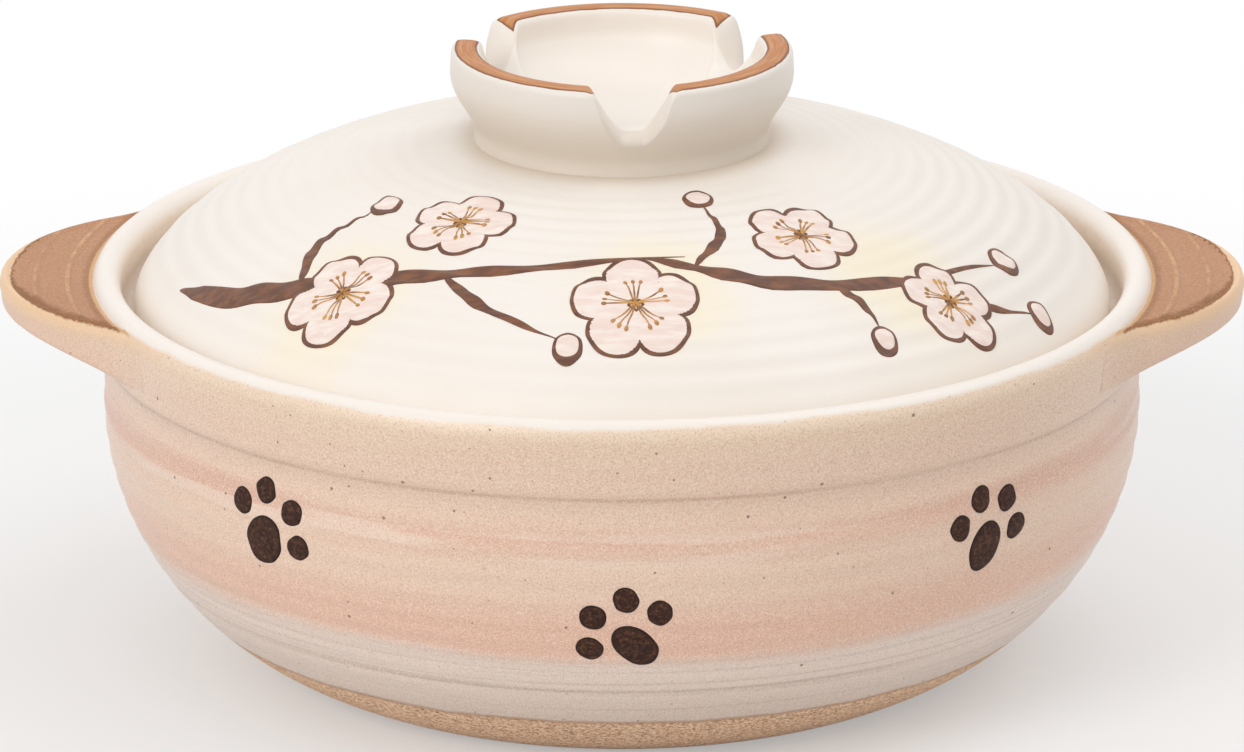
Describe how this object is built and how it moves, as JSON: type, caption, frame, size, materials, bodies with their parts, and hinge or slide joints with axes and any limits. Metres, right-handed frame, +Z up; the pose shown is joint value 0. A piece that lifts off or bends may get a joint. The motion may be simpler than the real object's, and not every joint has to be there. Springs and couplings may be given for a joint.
{
  "type": "lidded clay pot",
  "caption": "Round stoneware hotpot bowl with lug handles on its rim band and a domed lid that drops into a gallery and lifts off by a notched ring knob.",
  "frame": {"origin": "middle of the foot, on the surface that the pot stands on", "axes": "+X through the right lug, +Z up through the knob, the front of the pot faces -Y"},
  "size_m": [0.2866, 0.244, 0.1432],
  "materials": {
    "speckled_glaze": "satin, speckled",
    "brown_slip": "matte",
    "cream_glaze": "satin"
  },
  "bodies": {
    "pot": {"pot_bowl": "speckled_glaze", "left_lug": "brown_slip", "right_lug": "brown_slip"},
    "lid": {"lid_dome": "cream_glaze", "lid_knob": "cream_glaze"}
  },
  "joints": [
    {"name": "lid_lift", "type": "slide", "parent": "pot", "child": "lid", "axis": [0, 0, 1], "range_m": [0, 0.12]}
  ]
}
